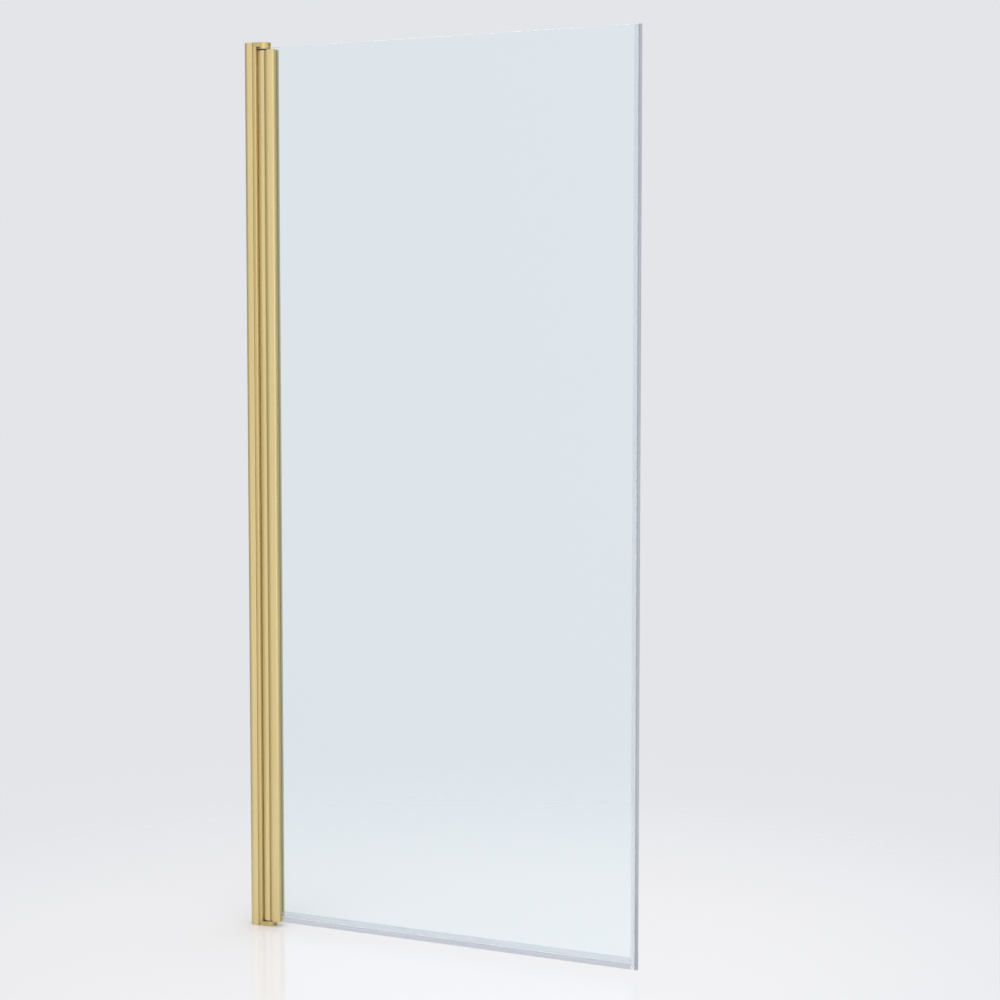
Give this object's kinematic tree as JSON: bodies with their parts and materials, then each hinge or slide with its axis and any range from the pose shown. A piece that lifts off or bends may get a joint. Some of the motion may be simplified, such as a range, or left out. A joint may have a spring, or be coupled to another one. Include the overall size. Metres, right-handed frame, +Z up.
{
  "type": "shower door",
  "caption": "Hinged shower door: clear glass pane in a brass-coloured profile that swings both ways from an adjustable wall channel, with clear bottom and edge seals.",
  "frame": {"origin": "foot of the wall profile's back face, on the middle plane of the glass", "axes": "+X from the wall to the free edge, +Y into the shower, +Z up"},
  "size_m": [0.9, 0.035, 1.9],
  "materials": {
    "brass_anodised_aluminium": "brushed, anodised in a pale brass colour",
    "mill_aluminium": "mill finish",
    "stainless_steel": "turned",
    "clear_glass": "polished, clear",
    "clear_pvc": "extruded, clear",
    "grey_rubber": "matt",
    "black_nylon": "moulded, matt",
    "brass_coloured_abs": "moulded, metallic paint"
  },
  "bodies": {
    "wall_mount": {"wall_profile": "brass_anodised_aluminium"},
    "hinge_frame": {"adjusting_profile": "brass_anodised_aluminium", "adjusting_screws": "stainless_steel", "adjusting_washers": "stainless_steel", "lower_pivot_bracket": "brass_anodised_aluminium", "upper_pivot_bracket": "brass_anodised_aluminium", "lower_bracket_screws": "stainless_steel", "upper_bracket_screws": "stainless_steel", "lower_pivot_pin": "stainless_steel", "upper_pivot_pin": "stainless_steel", "lower_pin_set_screw": "stainless_steel", "upper_pin_set_screw": "stainless_steel", "lower_thrust_washer": "black_nylon", "hinge_gasket": "grey_rubber"},
    "door": {"door_profile": "brass_anodised_aluminium", "lower_pivot_bush": "black_nylon", "upper_pivot_bush": "black_nylon", "upper_thrust_washer": "black_nylon", "lower_profile_cap": "brass_coloured_abs", "upper_profile_cap": "brass_coloured_abs", "glass_pane": "clear_glass", "front_glazing_gasket": "grey_rubber", "rear_glazing_gasket": "grey_rubber", "clamp_bar": "mill_aluminium", "clamp_screws": "stainless_steel", "glass_setting_block": "black_nylon", "bottom_seal": "clear_pvc", "closing_edge_seal": "clear_pvc"}
  },
  "joints": [
    {"name": "width_adjustment", "type": "slide", "parent": "wall_mount", "child": "hinge_frame", "axis": [1, 0, 0], "range_m": [-0.004, 0.006]},
    {"name": "door_swing", "type": "hinge", "parent": "hinge_frame", "child": "door", "pos_m": [0.044, 0, 0], "axis": [0, 0, 1], "range_deg": [-90, 90]}
  ]
}
